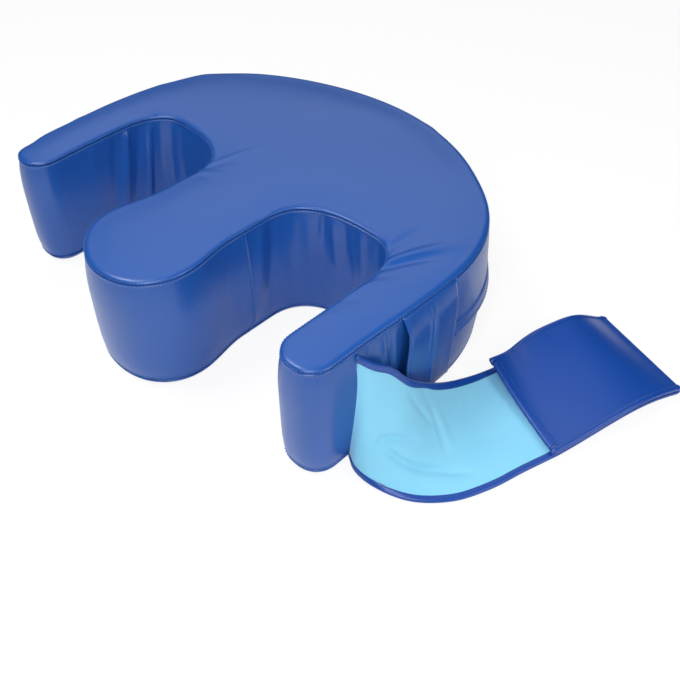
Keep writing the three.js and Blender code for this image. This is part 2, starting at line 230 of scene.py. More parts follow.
def makeLining():
    colours = finishes["liningBlue"], finishes["liningBlueLight"]
    material, tree, shader = clothMaterial("liningCloth", 14.0, 1.3, colours, (0.86, 0.96))
    bump = bumpNode(tree, weaveGroup, {"Scale": finishes["weaveScale"]}, 0.35, 0.00025)
    setInputs(tree, shader, {"Sheen Weight": 0.25, "Specular IOR Level": 0.25, "Normal": bump})
    return material


def makeThread(name):
    dark = tuple(0.7 * part for part in finishes[name])
    return clothMaterial(name, 700.0, 1.5, (dark, finishes[name]), (0.45, 0.6))[0]


coverSkin = makeLeatherette("coverLeatherette", "coverBlue")
beltSkin = makeLeatherette("beltLeatherette", "beltBlue")
liningCloth = makeLining()
coverThread, beltThread = makeThread("coverThread"), makeThread("beltThread")
print("materials made")


# Mesh helpers

def meshPoints(mesh):
    places = np.zeros(len(mesh.vertices) * 3)
    mesh.vertices.foreach_get("co", places)
    return places.reshape(-1, 3)


def turnOutwards(mesh):
    # A closed mesh whose signed volume, the sum of a . (b x c) / 6, is below zero has its faces turned over
    corners = np.zeros(len(mesh.loop_triangles) * 3, np.int32)
    mesh.loop_triangles.foreach_get("vertices", corners)
    a, b, c = meshPoints(mesh)[corners.reshape(-1, 3)].swapaxes(0, 1)
    if (a * np.cross(b, c)).sum() < 0:
        mesh.flip_normals()
    mesh.update()


def makePiece(name, points, faces, material, uv=None):
    # faces: list of arrays, each with a row of corner numbers for every face
    mesh = bpy.data.meshes.new(name)
    mesh.from_pydata(points.reshape(-1, 3).tolist(), [], [row for part in faces for row in part.tolist()])
    mesh.validate()
    mesh.polygons.foreach_set("use_smooth", np.ones(len(mesh.polygons), bool))
    if uv is not None:
        layer = mesh.uv_layers.new(name="clothUV")
        corners = np.zeros(len(mesh.loops), np.int32)
        mesh.loops.foreach_get("vertex_index", corners)
        layer.data.foreach_set("uv", uv.reshape(-1, 2)[corners].astype(np.float32).ravel())
    mesh.materials.append(material)
    turnOutwards(mesh)
    piece = addObject(name, mesh)
    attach(piece, "root")
    return piece


def gridFaces(rows, columns):
    # Quads of a grid whose point number is row * columns + column, its last column joined to its first
    r, c = np.meshgrid(np.arange(rows - 1), np.arange(columns), indexing="ij")
    a, b = r * columns + c, r * columns + (c + 1) % columns
    return np.stack([a, b, b + columns, a + columns], -1).reshape(-1, 4)


def makeTube(name, rings, node, material, uv=None):
    # rings: sections along a path, each a closed loop of points; one face closes each of the two ends
    count, corners = rings.shape[:2]
    first = np.arange(corners)[None]
    faces = [gridFaces(count, corners), first[:, ::-1], first + (count - 1) * corners]
    piece = makePiece(name, rings, faces, material, uv)
    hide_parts(node)
    return piece


def flatSection(points, normals, thickness, edgeSteps=4):
    # Closed loops round a sheet: over its face, round the far edge, back under it, round the near edge.
    # points and normals: rows along the sheet, columns across it
    half = thickness / 2
    angle = np.linspace(0, np.pi, edgeSteps + 2)[1:-1, None]
    far = unit(points[:, -1:] - points[:, -2:-1])
    near = unit(points[:, :1] - points[:, 1:2])
    roundFar = points[:, -1:] + half * (np.cos(angle) * normals[:, -1:] + np.sin(angle) * far)
    roundNear = points[:, :1] + half * (np.sin(angle) * near - np.cos(angle) * normals[:, :1])
    under = (points - half * normals)[:, ::-1]
    return np.concatenate([points + half * normals, roundFar, under, roundNear], 1)


stitch = {"length": 0.0025, "radius": 0.00040, "sides": 6}


def makeThreads(name, places, along, outward, material):
    # Each stitch is a short spindle, sunk a little: radius = r * sqrt(1.02 - t^2), t from -1 to 1 along it
    places, along, outward = (np.reshape(part, (-1, 3)) for part in (places, along, outward))
    along = unit(along)
    across = unit(np.cross(outward, along))
    t = np.array([-1, -0.72, 0, 0.72, 1.0])[:, None]
    rings, sides = len(t), stitch["sides"]
    turn = np.arange(sides) * 2 * np.pi / sides
    radius = stitch["radius"] * np.sqrt(1.02 - t ** 2)
    lift = stitch["radius"] * (0.55 - 0.9 * t ** 2)
    form = (t * stitch["length"] / 2, radius * np.cos(turn), radius * np.sin(turn) + lift)
    axes = (along, across, np.cross(along, across))
    parts = (part[..., None] * axis[:, None, None] for part, axis in zip(form, axes))
    caps = np.stack([np.arange(sides)[::-1], (rings - 1) * sides + np.arange(sides)])
    step = (np.arange(len(places)) * rings * sides)[:, None, None]
    faces = [(part + step).reshape(-1, part.shape[1]) for part in (gridFaces(rings, sides), caps)]
    return makePiece(name, places[:, None, None] + sum(parts), faces, material)


# Cushion cover

cover = {
    "halfWidth": float(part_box("cushion")[1][0]) - 0.0027,
    "bulge": 0.0034,
    "bulgeReach": 0.011,
    "backRadius": 0.318,
    "shoulderRadius": 0.190,
    "armTipY": -0.174,
    "armTipRadius": 0.026,
    "armInnerX": 0.2025,
    "notchBaseY": -0.052,
    "notchCrest": (0.153, 0.0115),
    "notchPower": 2.5,
    "neck": (0.061, -0.095),
    "tongue": (0.0705, -0.157),
    "tongueTipY": -0.2215,
    "tonguePower": 2.1,
    "backY": 0.2215,
    "lowerSeamZ": 0.009,
    "upperSeamZ": 0.1445,
    "longSeam": (0.0020, 0.0008, 0.0008, 0.0019),       # depth, width, height and distance of its rims
    "uprightSeam": (0.0020, 0.0009, 0.0008, 0.0022),
    "rollStart": 0.0016,    # above the upper seam
    "rollTop": 0.1489,
    "rollInset": 0.0090,
    "crown": 0.0016,
    "crownReach": 0.018,
    "topPull": 0.0015,      # the top panel draws the wall in by this much
    "unevenness": 0.00035,
    "stationStep": 0.0030,
    "seamStep": 0.0008,
    "topStep": 0.0038,
}

# Small swellings of the outline, in millimetres: plan point, reach along it, how far out
outlineSwell = np.array([
    (-261, -150, 17, -5),
    (-261, -20, 55, 2.3),
    (-235, 106, 30, 3.5),
    (-100, 205, 70, -1.8),
    (45, 218.5, 55, 1.2),
    (185, 162, 50, -3),
    (70, 218, 10, 1),
    (-264.5, 50, 12, 1),
    (-242, 110, 12, 1),
    (-261, -74, 8, 1),
]) / 1000

# How the upper part of the cushion leans, in millimetres: plan point, reach, x and y at the top seam
topLeans = np.array([
    (-232, -165, 50, 4.5, 2),
    (-235, -25, 50, -2.2, 0),
    (-45, -205, 35, 1.5, 2.5),
    (66, -150, 70, -2, 0),
    (65, -30, 50, -1.5, 1),
    (258, -145, 50, -3, 1),
    (260, -90, 40, -1.5, 0),
]) / 1000

# Upright seams in the wall: plan point
uprightSeams = {
    "tongue": (0.061, -0.0785),
    "belt": (0.261, -0.079),
    "rightRear": (0.261, 0.021),
    "leftRear": (-0.261, 0.021),
}

# Soft folds in the wall, in millimetres: plan point near the top and near the foot, lowest and highest z,
# width, how far out
wallFolds = np.array([
    (-194.9, -10.8, -199.1, -21.5, 20, 144, 3.4, -1.5),
    (-190, -3.3, -195.8, -12.6, 10, 142, 5, -1.2),
    (-196, -13.1, -201.3, -31.8, 15, 143, 4.2, 3.6),
    (-200.6, -27.8, -202.5, -51.7, 10, 140, 5.8, -2.6),
    (-202.4, -45.7, -202.5, -69.7, 10, 143, 5.5, 4.2),
    (-202.5, -62.7, -202.5, -85.7, 10, 140, 7.5, -2.4),
    (-169.3, 9.8, -175, 7.9, 20, 140, 8, 1.4),
    (-202.5, -95, -202.5, -112, 10, 140, 11, 1.2),
    (61, -57.4, 61, -74.4, 10, 142, 6.5, 1.8),
    (61.5, -41.4, 61, -54.4, 10, 142, 7, -2),
    (74.3, -11.7, 73, -13.2, 20, 138, 9, 1.2),
    (95.6, 2.8, 95.6, 2.8, 95, 145, 4.5, -2.6),
    (107.9, 7, 120.6, 9.6, 60, 142, 5.5, 1.8),
    (122.6, 9.9, 138.6, 11.2, 40, 142, 6, -1.6),
    (143.6, 11.4, 160.5, 11.2, 30, 143, 6, 1.8),
    (170.4, 9.5, 182.9, 3.5, 30, 143, 7, -1.8),
    (260.5, -70, 260.5, -70, 5, 142, 3, 1.4),
    (260.5, -90, 260.5, -89, 5, 142, 3.5, 1.2),
    (260.5, -103, 260.5, -100, 5, 142, 3.5, -1),
]) / 1000

# Soft wrinkles on the top, in millimetres: from, to, width, height
topWrinkles = np.array([
    (199.7, -12, 240.8, 65, 5.5, 1.4),
    (202, -24, 248, 48, 5.8, -1.4),
    (187.4, 1.9, 199, 70, 6, -0.8),
    (178, 8, 191.3, 62.5, 6, 0.7),
    (206, -55, 245, -18, 8, 0.7),
    (208, -82, 248, -45, 9, -0.6),
    (212, -110, 245, -80, 9, 0.6),
    (-60, -27, -36, 44, 3.6, 0.7),
    (-58, -33, -33, 3, 5, -0.5),
    (-54, -43, -25, -27, 3.6, 0.5),
    (-50, -50, -15, -47, 5.5, -0.4),
    (-193.5, -6, -201, 8, 3, 1),
    (-193.5, -6, -186, 14, 3, -0.8),
    (64, -56, 42, -24, 6, -0.6),
]) / 1000
topDimples = np.array([(152.6, 58.4, 4.5, -0.4), (131.2, 139, 4.5, -0.3)]) / 1000


def superQuarter(centre, radii, power, count=160):
    # Quarter of a superellipse: x = cx + rx cos(a)^(2/p), y = cy + ry sin(a)^(2/p)
    a = np.linspace(0, np.pi / 2, count)
    x = centre[0] + radii[0] * np.abs(np.cos(a)) ** (2 / power)
    y = centre[1] + radii[1] * np.abs(np.sin(a)) ** (2 / power)
    return np.column_stack([x, y])


def circleArc(centre, radius, fromAngle, toAngle, count):
    a = np.linspace(fromAngle, toAngle, count)
    return np.column_stack([centre[0] + radius * np.cos(a), centre[1] + radius * np.sin(a)])


def coverPlan(p):
    # Right half: back arc, shoulder arc, arm tip, the notch's two quarters, the tongue; then its mirror image
    backCentre = p["backY"] - p["backRadius"]
    shoulderX = p["halfWidth"] - p["shoulderRadius"]
    shoulderY = backCentre + np.sqrt((p["backRadius"] - p["shoulderRadius"]) ** 2 - shoulderX ** 2)
    join = np.arctan2(shoulderY - backCentre, shoulderX)
    tipY, tipR = p["armTipY"] + p["armTipRadius"], p["armTipRadius"]
    crestX, crestY = p["notchCrest"]
    notch, rise = (crestX, p["notchBaseY"]), crestY - p["notchBaseY"]
    neck, tongue = np.array(p["neck"]), np.array(p["tongue"])
    flare = np.linspace(0, 1, 80)[:, None]
    half = np.vstack([
        circleArc((0, backCentre), p["backRadius"], np.pi / 2, join, 240),
        circleArc((shoulderX, shoulderY), p["shoulderRadius"], join, 0, 240),
        circleArc((p["halfWidth"] - tipR, tipY), tipR, 0, -np.pi / 2, 80),
        circleArc((p["armInnerX"] + tipR, tipY), tipR, -np.pi / 2, -np.pi, 80),
        superQuarter(notch, (p["armInnerX"] - crestX, rise), p["notchPower"]),
        superQuarter(notch, (neck[0] - crestX, rise), p["notchPower"])[::-1],
        neck + (tongue - neck) * np.hstack([smoothstep(flare, 0, 1), flare]),
        superQuarter((0, tongue[1]), (tongue[0], p["tongueTipY"] - tongue[1]), p["tonguePower"]),
    ])
    whole = np.vstack([half, (half * [-1, 1])[::-1]])
    return whole[np.linalg.norm(whole - np.roll(whole, 1, 0), axis=1) > 1e-6]


class CoverLoop:
    # The cover's outline by its arc length s, clockwise from the middle of the back, with its outward normal.
    # It is blurred a little, then swollen by outlineSwell
    def __init__(self, p, step=0.0005, blur=0.0025):
        plan = coverPlan(p)
        plan = np.vstack([plan, plan[:1]])
        lengths = pathLengths(plan)
        self.total = lengths[-1]
        count = int(self.total / step)
        self.s = np.arange(count) * self.total / count
        reach = int(4 * blur / step)
        kernel = bell(np.arange(-reach, reach + 1) * step, blur * 1.4)
        columns = []
        for column in plan.T:
            even = np.interp(self.s, lengths, column)
            padded = np.concatenate([even[-reach:], even, even[:reach]])
            columns.append(np.convolve(padded, kernel / kernel.sum(), "valid"))
        self.points = np.column_stack(columns)
        self.setNormals()
        swell = np.zeros(count)
        for x, y, far, amount in outlineSwell:
            swell += amount * bell(self.away(self.s, self.nearest((x, y))), far)
        self.points = self.points + swell[:, None] * self.normals
        self.setNormals()

    def setNormals(self):
        tangent = unit(np.roll(self.points, -1, 0) - np.roll(self.points, 1, 0))
        self.normals = np.column_stack([-tangent[:, 1], tangent[:, 0]])

    def at(self, s):
        point, normal = (
            np.stack([np.interp(s % self.total, self.s, column, period=self.total) for column in part.T], -1)
            for part in (self.points, self.normals)
        )
        return point, unit(normal)

    def nearest(self, place):
        return self.s[np.argmin(np.linalg.norm(self.points - np.asarray(place), axis=1))]

    def away(self, s, target):
        # Signed distance along the loop from target to s, the shorter way round
        return np.mod(s - target + self.total / 2, self.total) - self.total / 2


loop = CoverLoop(cover)
seamPlaces = {name: loop.nearest(place) for name, place in uprightSeams.items()}


def coverStations(p):
    # Stations along the outline, spread by a density that rises close to each upright seam
    density = np.full(len(loop.s), 1 / p["stationStep"])
    for place in seamPlaces.values():
        density += (1 / p["seamStep"] - 1 / p["stationStep"]) * bell(loop.away(loop.s, place), 0.004)
    grown = np.concatenate([[0], np.cumsum(density) * loop.total / len(loop.s)])
    count = int(round(grown[-1]))
    return np.interp(np.arange(count) * grown[-1] / count, grown, np.append(loop.s, loop.total))


zipBand = {
    "z": 0.075,
    "height": 0.015,
    "thickness": 0.0018,
    "lift": 0.0022,
    "bandOut": 0.0020,
    "drawnIn": 0.0015,
    "settle": 0.070,
    "rearSeamY": 0.021,
    "rearBlend": 0.050,
}


def rearShare(points):
    # 1 along the back between the two rear seams, 0 elsewhere, with a soft start
    x, y, start = points[..., 0], points[..., 1], zipBand["rearSeamY"]
    outer = (np.abs(x) > cover["armInnerX"] + 0.02) | (y > cover["notchCrest"][1] + 0.02)
    return outer * smoothstep(y, start, start + zipBand["rearBlend"])


def seamLine(distance, depth, width, rim, off):
    # Groove of a seam between its two raised rims, by the distance from it
    rims = bell(distance - off, off * 0.55) + bell(distance + off, off * 0.55)
    return rim * rims - depth * bell(distance, width)


def wallBulge(z):
    # Plain bulge: b * (1 - exp(-distance from each seam / reach)), less the top panel's pull
    p = cover
    over, below = np.clip(z - p["lowerSeamZ"], 0, None), np.clip(p["upperSeamZ"] - z, 0, None)
    rounded = (1 - np.exp(-over / p["bulgeReach"])) * (1 - np.exp(-below / p["bulgeReach"]))
    return p["bulge"] * rounded - p["topPull"] * smoothstep(z, 0.100, p["upperSeamZ"])


def wallOut(s, z):
    # How far the wall stands out at arc length s and height z: the bulge between the seams, the zip band,
    # the upright seams and folds, and a slow unevenness
    p = cover
    share = np.clip((z - p["lowerSeamZ"]) / (p["upperSeamZ"] - p["lowerSeamZ"]), 0, 1)
    inside = np.sin(np.pi * share) ** 0.4
    out = wallBulge(z)
    for seamZ in (p["lowerSeamZ"], p["upperSeamZ"]):
        out = out + seamLine(z - seamZ, *p["longSeam"])
    band = zipBand["bandOut"] * bell(z - zipBand["z"] - 0.008, 0.016) * smoothstep(z, 0.067, 0.075)
    band = band - zipBand["drawnIn"] * bell(z - zipBand["z"] + 0.009, 0.010)
    out = out + rearShare(loop.at(s)[0]) * band
    for place in seamPlaces.values():
        out = out + inside * seamLine(loop.away(s, place), *p["uprightSeam"])
    for topX, topY, footX, footY, low, high, width, depth in wallFolds:
        top, foot = loop.nearest((topX, topY)), loop.nearest((footX, footY))
        centre = foot + loop.away(top, foot) * (z - 0.03) / 0.10
        window = smoothstep(z, low, low + 0.030) * (1 - smoothstep(z, high - 0.010, high + 0.003))
        out = out + depth * window * bell(loop.away(s, centre), width * (1.25 - 0.5 * share))
    wave = np.sin(s / 0.0310 + 2.0 * np.sin(s / 0.083)) + 0.6 * np.sin(s / 0.0173 + 1.3 + 14 * z)
    return out + p["unevenness"] * inside * wave


def leanAt(points, z):
    # Sideways shift of the cushion at a height: a bell round each leaning place, growing from the floor up
    shift = np.zeros(points.shape[:-1] + (2,))
    for x, y, reach, *lean in topLeans:
        share = bell(np.hypot(points[..., 0] - x, points[..., 1] - y), reach)
        shift = shift + share[..., None] * lean
    return shift * (np.clip(z / cover["upperSeamZ"], 0, 1.05) ** 1.5)[..., None]


def topRelief(x, y):
    # Wrinkles, each a soft ridge or trough along a line that fades at its ends, dimples and a slow unevenness
    out = 0.0005 * np.sin(x / 0.034 + 1.1 * np.sin(y / 0.05)) * np.sin(y / 0.041 + 0.7)
    for x0, y0, x1, y1, width, height in topWrinkles:
        line = np.array([x1 - x0, y1 - y0])
        length = np.hypot(*line)
        line /= length
        along = ((x - x0) * line[0] + (y - y0) * line[1]) / length
        inner = np.clip(along, 0, 1)
        aside = (x - x0) * line[1] - (y - y0) * line[0] + 0.003 * np.sin(np.pi * inner)
        fade = smoothstep(along, -0.25, 0.12) * (1 - smoothstep(along, 0.35, 1.1))
        out = out + 1.5 * height * fade * bell(aside, width * (0.55 + 0.85 * inner))
    for x0, y0, width, height in topDimples:
        out = out + height * bell(np.hypot(x - x0, y - y0), width)
    return out


def insideOf(polygon, points):
    # Even-odd crossings of each point's ray with the polygon's sides, as one array
    (ax, ay), (bx, by) = polygon.T, np.roll(polygon, -1, 0).T
    x, y = points[:, :1], points[:, 1:]
    slope = (bx - ax) / np.where(by == ay, 1e-12, by - ay)
    return (((ay > y) != (by > y)) & (x < ax + slope * (y - ay))).sum(1) % 2 == 1


def distanceTo(polygon, points):
    # Distance from each point to the nearest side of the polygon, in slices to spare memory
    side = np.roll(polygon, -1, 0) - polygon
    square = np.maximum((side ** 2).sum(1), 1e-18)
    found = []
    for part in np.array_split(points, max(1, len(points) // 1500)):
        apart = part[:, None] - polygon
        t = np.clip((apart * side).sum(-1) / square, 0, 1)
        found.append(np.sqrt(((apart - t[..., None] * side) ** 2).sum(-1)).min(1))
    return np.concatenate(found)


def fillInside(ring, step):
    # Points of a staggered grid inside a closed ring, and the triangles that join them to it and each other
    low, high = ring.min(0), ring.max(0)
    gx, gy = np.meshgrid(np.arange(low[0], high[0], step), np.arange(low[1], high[1], step * 0.87))
    gx = gx + (np.arange(len(gx)) % 2)[:, None] * step / 2
    grid = np.column_stack([gx.ravel(), gy.ravel()])
    grid = grid[insideOf(ring, grid)]
    grid = grid[distanceTo(ring, grid) > 0.6 * step]
    result = delaunay_2d_cdt(np.vstack([ring, grid]).tolist(), [], [list(range(len(ring)))], 1, 1e-7)
    return grid, np.array(result[2])


# Rows of the cover in millimetres: height above a long seam, and height and distance in under its foot
seamRows = np.array([-3.6, -2.9, -2.3, -1.9, -1.5, -1.1, -0.7, -0.35, 0, 0.35, 0.7, 1.1, 1.5, 1.8]) / 1000
footRows = np.array([(0, 14), (0, 10.5), (0.2, 7.8), (0.9, 5.2), (2.0, 3.0), (3.4, 1.5)]) / 1000


def coverGrid(p, s):
    # Rows of the cover from its underside, up the wall and over the rolled edge; each row is a closed loop
    lower, upper = p["lowerSeamZ"], p["upperSeamZ"]
    wallZ = np.concatenate([lower + seamRows, np.arange(0.0135, 0.1400, 0.0038), upper + seamRows])
    start = upper + p["rollStart"]
    rise = p["rollTop"] - start
    last = np.arctan(rise / p["rollInset"] * p["crownReach"] / p["crown"])
    angle = np.linspace(0, last, 12)[1:]
    rollIn = p["rollInset"] * (1 - np.cos(angle))[:, None]
    z = np.concatenate([footRows[:, 0], wallZ, start + rise * np.sin(angle)])[:, None]
    wallZ = wallZ[:, None]
    out = np.vstack([
        np.tile(-footRows[:, 1:], len(s)),
        wallOut(s, wallZ) - 0.0008 * (1 - smoothstep(wallZ, 0.003, 0.009)),
        wallOut(s, start) * (1 - smoothstep(rollIn, 0, 0.012)) - rollIn,
    ])
    point, normal = loop.at(s)
    xy = point + normal * out[..., None]
    xy = xy + leanAt(point, z)
    z = z + smoothstep(z, start, p["rollTop"]) * topRelief(xy[..., 0], xy[..., 1])
    return np.concatenate([xy, z[..., None]], -1)


def makeCover(p):
    grid = coverGrid(p, coverStations(p))
    rows, count = grid.shape[:2]
    topRing = grid[-1, :, :2]
    inner, topFaces = fillInside(topRing, p["topStep"])
    crown = p["crown"] * (1 - np.exp(-distanceTo(topRing, inner) / p["crownReach"]))
    topZ = grid[-1, :, 2].mean() + crown + topRelief(*inner.T)
    under, footFaces = fillInside(grid[0, :, :2], p["topStep"] * 3)
    top, bottom = np.column_stack([inner, topZ]), np.column_stack([under, np.zeros(len(under))])
    lastRow, topStart = (rows - 1) * count, rows * count
    footStart = topStart + len(top)
    topFaces = np.where(topFaces < count, topFaces + lastRow, topFaces - count + topStart)
    footFaces = np.where(footFaces < count, footFaces, footFaces - count + footStart)
    faces = [gridFaces(rows, count)[:, ::-1], topFaces, footFaces[:, ::-1]]
    piece = makePiece("cushionCover", np.vstack([grid.reshape(-1, 3), top, bottom]), faces, coverSkin)
    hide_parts("cushion")
    return piece


cushionCover = makeCover(cover)
print("cover made:", len(cushionCover.data.polygons), "faces")


def offOutline(s, out, z):
    # Points that stand off the outline by out, at height z, the direction along it and its outward normal
    point, normal = loop.at(s)
    level = np.zeros(len(s))
    along, outward = np.column_stack([normal[:, 1], -normal[:, 0], level]), np.column_stack([normal, level])
    return np.column_stack([point + normal * out[:, None], level + z]), along, outward


def coverPoint(s, z):
    # The same on the cover's own wall
    place, along, outward = offOutline(s, wallOut(s, z), z)
    place[:, :2] += leanAt(loop.at(s)[0], np.asarray(z))
    return place, along, outward


# Swelling of the cover by its filling

swelling = {
    "voxel": 0.005,
    "pressure": 4.0,
    "frames": 20,
    "cap": 0.0012,          # the furthest that the filling pushes the cover out
    "heldNear": 0.0035,     # the cloth is held this close to a seam, and underneath
    "panelY": (-0.085, 0.025),      # and behind the side panel
}


def seamGap(place):
    # Distance from the nearest held place: the two long seams, the upright ones, the zip strip and the panel
    p = cover
    x, y, z = place.T
    gap = np.minimum(z - p["lowerSeamZ"], p["upperSeamZ"] - z)
    for seamX, seamY in uprightSeams.values():
        gap = np.minimum(gap, np.hypot(x - seamX, y - seamY))
    strip = np.abs(z - zipBand["z"]) - zipBand["height"] / 2
    gap = np.where(rearShare(place) > 0, np.minimum(gap, strip), gap)
    low, high = swelling["panelY"]
    gap = np.where(x > 0.25, np.minimum(gap, np.maximum(low - y, y - high)), gap).clip(0)
    edge = coverPoint(coverStations(p), p["upperSeamZ"])[0][:, :2]
    onTop = z > p["upperSeamZ"]
    gap[onTop] = distanceTo(edge, place[onTop, :2])
    return gap


def evaluated(piece):
    return piece.evaluated_get(bpy.context.evaluated_depsgraph_get())


def swellCover(piece, p):
    # A remeshed copy swells as cloth under pressure, held at its seams. Its movement m, eased to
    # cap * tanh(m / cap), carries the cover
    scene = bpy.context.scene
    pad = addObject("swellingPad", piece.data.copy())
    remesh = pad.modifiers.new("remesh", "REMESH")
    remesh.mode = "VOXEL"
    remesh.voxel_size = p["voxel"]
    plain = bpy.data.meshes.new_from_object(evaluated(pad))
    pad.modifiers.clear()
    pad.data = plain
    start = meshPoints(plain)
    gap = seamGap(start)
    seams = pad.vertex_groups.new(name="seams")
    for reach, hold in ((2 * p["heldNear"], 0.4), (p["heldNear"], 1.0)):
        seams.add(np.nonzero(gap < reach)[0].tolist(), hold, "REPLACE")
    cloth = pad.modifiers.new("cloth", "CLOTH")
    cloth.settings.use_pressure = True
    cloth.settings.uniform_pressure_force = p["pressure"]
    cloth.settings.effector_weights.gravity = 0
    cloth.settings.vertex_group_mass = "seams"
    cloth.point_cache.frame_start, cloth.point_cache.frame_end = 1, p["frames"]
    for frameNumber in range(1, p["frames"] + 1):
        scene.frame_set(frameNumber)
    moved = meshPoints(evaluated(pad).data) - start
    far = np.linalg.norm(moved, axis=1, keepdims=True).clip(1e-9)
    pad.modifiers.clear()
    scene.frame_set(1)
    piece.modifiers.new("follow", "SURFACE_DEFORM").target = pad
    with bpy.context.temp_override(object=piece, active_object=piece):
        bpy.ops.object.surfacedeform_bind(modifier="follow")
    eased = start + moved * p["cap"] * np.tanh(far / p["cap"]) / far
    plain.vertices.foreach_set("co", eased.ravel())
    plain.update()
    carried = bpy.data.meshes.new_from_object(evaluated(piece))
    shift = np.linalg.norm(meshPoints(carried) - meshPoints(piece.data), axis=1) * 1000
    piece.modifiers.clear()
    piece.data.vertices.foreach_set("co", meshPoints(carried).ravel())
    piece.data.update()
    bpy.data.objects.remove(pad)
    bpy.data.meshes.remove(carried)
    free = np.round(np.percentile(far[gap > 0.01], [5, 50, 95]) * 1000, 1).tolist()
    most, mean = shift.max().round(2), shift.mean().round(2)
    print("cover swollen: free cloth moved", free, "mm; cover moved at most", most, "mm, mean", mean, "mm")


swellCover(cushionCover, swelling)


# Stitches of the cover

def makeCoverStitches():
    pitch = 0.0038
    top, foot = cover["upperSeamZ"], cover["lowerSeamZ"]
    rows = {"upperSeam": top - 0.0019, "capSeam": top + 0.0017, "lowerSeam": foot + 0.0019}
    for name, z in rows.items():
        makeThreads(name + "Stitches", *coverPoint(np.arange(0, loop.total, pitch), z), coverThread)
    z = np.arange(0.016, 0.140, pitch)
    for name, place in seamPlaces.items():
        places, _, outward = coverPoint(np.full(len(z), place + 0.0022), z)
        makeThreads(name + "Stitches", places, [0, 0, 1.0], outward, coverThread)


makeCoverStitches()
print("cover stitches made")


# Strip over the zip

def makeZipStrip(p):
    # Section: a slab whose upper edge is sewn to the wall and whose lower edge stands off it, carried along
    # the back between the two rear seams
    start = seamPlaces["leftRear"] + 0.0015
    span = loop.away(seamPlaces["rightRear"] + 0.0010, start) % loop.total
    upper = p["z"] + p["height"] / 2
    across = np.linspace(0, 1, 13)
    lift = np.interp(across, [0, 0.15, 0.5, 1], [0.0002, 0.0010, 0.0014, 0.0018])

    def standOff(s, share):
        # How far the strip stands off the outline at a share of its height, down from its upper edge
        settle = smoothstep(np.minimum(s - start, start + span - s), 0, p["settle"])
        wall = wallOut(s, np.maximum(upper - p["height"] * share, p["z"]))
        return wall + np.interp(share, across, lift) + settle * p["lift"] * share ** 1.2

    s = start + np.linspace(0, span, 300)
    off = standOff(s[:, None], across) + 0.0004 * across * np.sin(s / 0.019)[:, None]
    point, normal = loop.at(s)
    xy = point[:, None] + normal[:, None] * off[..., None]
    z = np.broadcast_to(upper - p["height"] * across, off.shape)
    grid = np.concatenate([xy, z[..., None]], -1)
    normals = np.broadcast_to(np.column_stack([normal, np.zeros(len(s))])[:, None], grid.shape)
    piece = makeTube("zipStrip", flatSection(grid, normals, p["thickness"]), "zip_flap", coverSkin)
    s = start + np.arange(0.004, span - 0.004, 0.0046)
    for name, share in (("zipUpperStitches", 0.13), ("zipLowerStitches", 0.86)):
        spots = offOutline(s, standOff(s, share) + p["thickness"] / 2, upper - p["height"] * share)
        makeThreads(name, *spots, coverThread)


makeZipStrip(zipBand)
print("zip strip made")


# Side panel

sidePanel = {
    "length": 0.0835,       # from the rear seam to the free front edge
    "skew": 0.0040,         # its front edge leans back by this much at the top
    "bottom": 0.0095,
    "top": 0.1440,
    "thickness": 0.0016,
    "stand": 0.0068,
    "seamStep": 0.45,       # share of its standing off that it has just in front of the rear seam
    "easeTop": 0.026,
    "easeFoot": 0.020,
    "ridge": 0.0440,
    "ridgeHeight": 0.0016,
    "creaseZ": 0.132,
}


def panelOff(p, d, z):
    # Distance off the wall at d from the rear seam: the open front, its two sewn ends eased in by quarter
    # sines, the pleat's double ridge, the hem's step, a short crease and a slow wave
    fromTop = np.clip((p["top"] - z) / p["easeTop"], 0, 1)
    fromFoot = np.clip((z - p["bottom"]) / p["easeFoot"], 0, 1)
    belly = np.sin(np.pi / 2 * fromTop) * np.sin(np.pi / 2 * fromFoot)
    rise = (z - p["bottom"]) / (p["top"] - p["bottom"])
    past = d - p["ridge"] + 0.0030 * smoothstep(rise, 0.1, 0.9)
    pleat = bell(past, 0.0022) + 0.75 * bell(past - 0.0062, 0.0020) - 0.35 * bell(past - 0.0032, 0.0016)
    hem = 0.0006 * bell(d - p["length"] + 0.0045, 0.0012)
    high = z - p["creaseZ"]
    crease = 0.0010 * bell(d - p["length"] + 0.006 + 0.6 * high, 0.0022) * bell(high, 0.009)
    wave = 0.0004 * np.sin(d / 0.0085 + 18 * z + 2.4)
    tuck = 0.0016 * smoothstep(z, p["top"] - 0.0016, p["top"])
    edge = 0.0006 * bell(d, 0.0015) - 0.0005 * bell(d - 0.0038, 0.0014)
    step = p["seamStep"]
    standing = p["stand"] * (step * smoothstep(d, 0, 0.007) + (1 - step) * smoothstep(d, 0, p["length"]))
    return (standing + p["ridgeHeight"] * pleat - hem + crease + wave) * belly + edge - tuck


